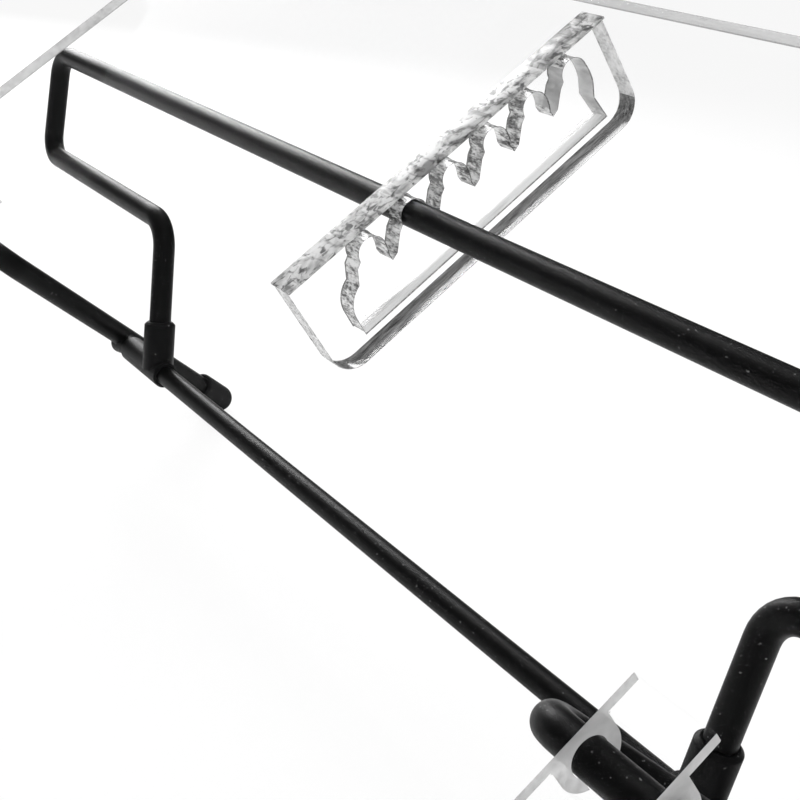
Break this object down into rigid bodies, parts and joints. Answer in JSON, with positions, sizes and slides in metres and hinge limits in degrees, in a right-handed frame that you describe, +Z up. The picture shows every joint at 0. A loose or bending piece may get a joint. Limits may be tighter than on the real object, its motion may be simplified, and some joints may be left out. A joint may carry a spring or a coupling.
{
  "type": "copy holder with line guide",
  "caption": "Sloping clear acrylic copy holder, propped by bent black rods in a notched rack, with a lip and a sliding line guide.",
  "frame": {"origin": "bottom centre of the bounding box, on the desk", "axes": "+X to the reader's right, +Y away from the reader, +Z up"},
  "size_m": [0.544, 0.2708, 0.2052],
  "materials": {
    "clear_acrylic": "polished clear acrylic",
    "frosted_bond": "clear bonded strip, mottled with bubbles",
    "black_coated_rod": "satin black powder coat",
    "black_moulding": "black moulded plastic",
    "black_rubber": "soft black rubber",
    "grey_felt": "pressed felt",
    "screw_steel": "plated steel",
    "line_ink": "dark inlaid line"
  },
  "bodies": {
    "platform": {"document_plate": "clear_acrylic", "rack_mounting_strip": "frosted_bond", "rack_plate": "clear_acrylic", "hinge_clip_left": "clear_acrylic", "hinge_clip_right": "clear_acrylic", "front_pad_left": "black_rubber", "front_pad_right": "black_rubber"},
    "prop_frame": {"prop_leg_left": "black_coated_rod", "prop_leg_right": "black_coated_rod", "rear_cross_rod": "black_coated_rod", "weld_bead_left": "black_coated_rod", "weld_bead_right": "black_coated_rod", "foot_cap_left": "black_rubber", "foot_cap_right": "black_rubber"},
    "strut_frame": {"strut_rod": "black_coated_rod", "pivot_tee_left": "black_moulding", "pivot_tee_right": "black_moulding"},
    "line_guide": {"line_guide_bar": "clear_acrylic", "guide_sight_line": "line_ink", "guide_screws": "screw_steel", "guide_end_clip_left": "black_moulding", "guide_end_clip_right": "black_moulding", "guide_brake_pad_left": "grey_felt", "guide_brake_pad_right": "grey_felt"}
  },
  "joints": [
    {"name": "prop_hinge", "type": "hinge", "parent": "platform", "child": "prop_frame", "pos_m": [0, -0.00447, 0.08683], "axis": [-1, 0, 0], "range_deg": [0, 10]},
    {"name": "strut_pivot", "type": "hinge", "parent": "prop_frame", "child": "strut_frame", "pos_m": [0, 0.05838, 0.04268], "axis": [1, 0, 0], "range_deg": [0, 3]},
    {"name": "guide_slide", "type": "slide", "parent": "platform", "child": "line_guide", "axis": [0, 0.7578, 0.6525], "range_m": [-0.012, 0.24]}
  ],
  "couplings": [
    {"joint": "strut_pivot", "follows": "prop_hinge", "ratio": 0.3}
  ]
}
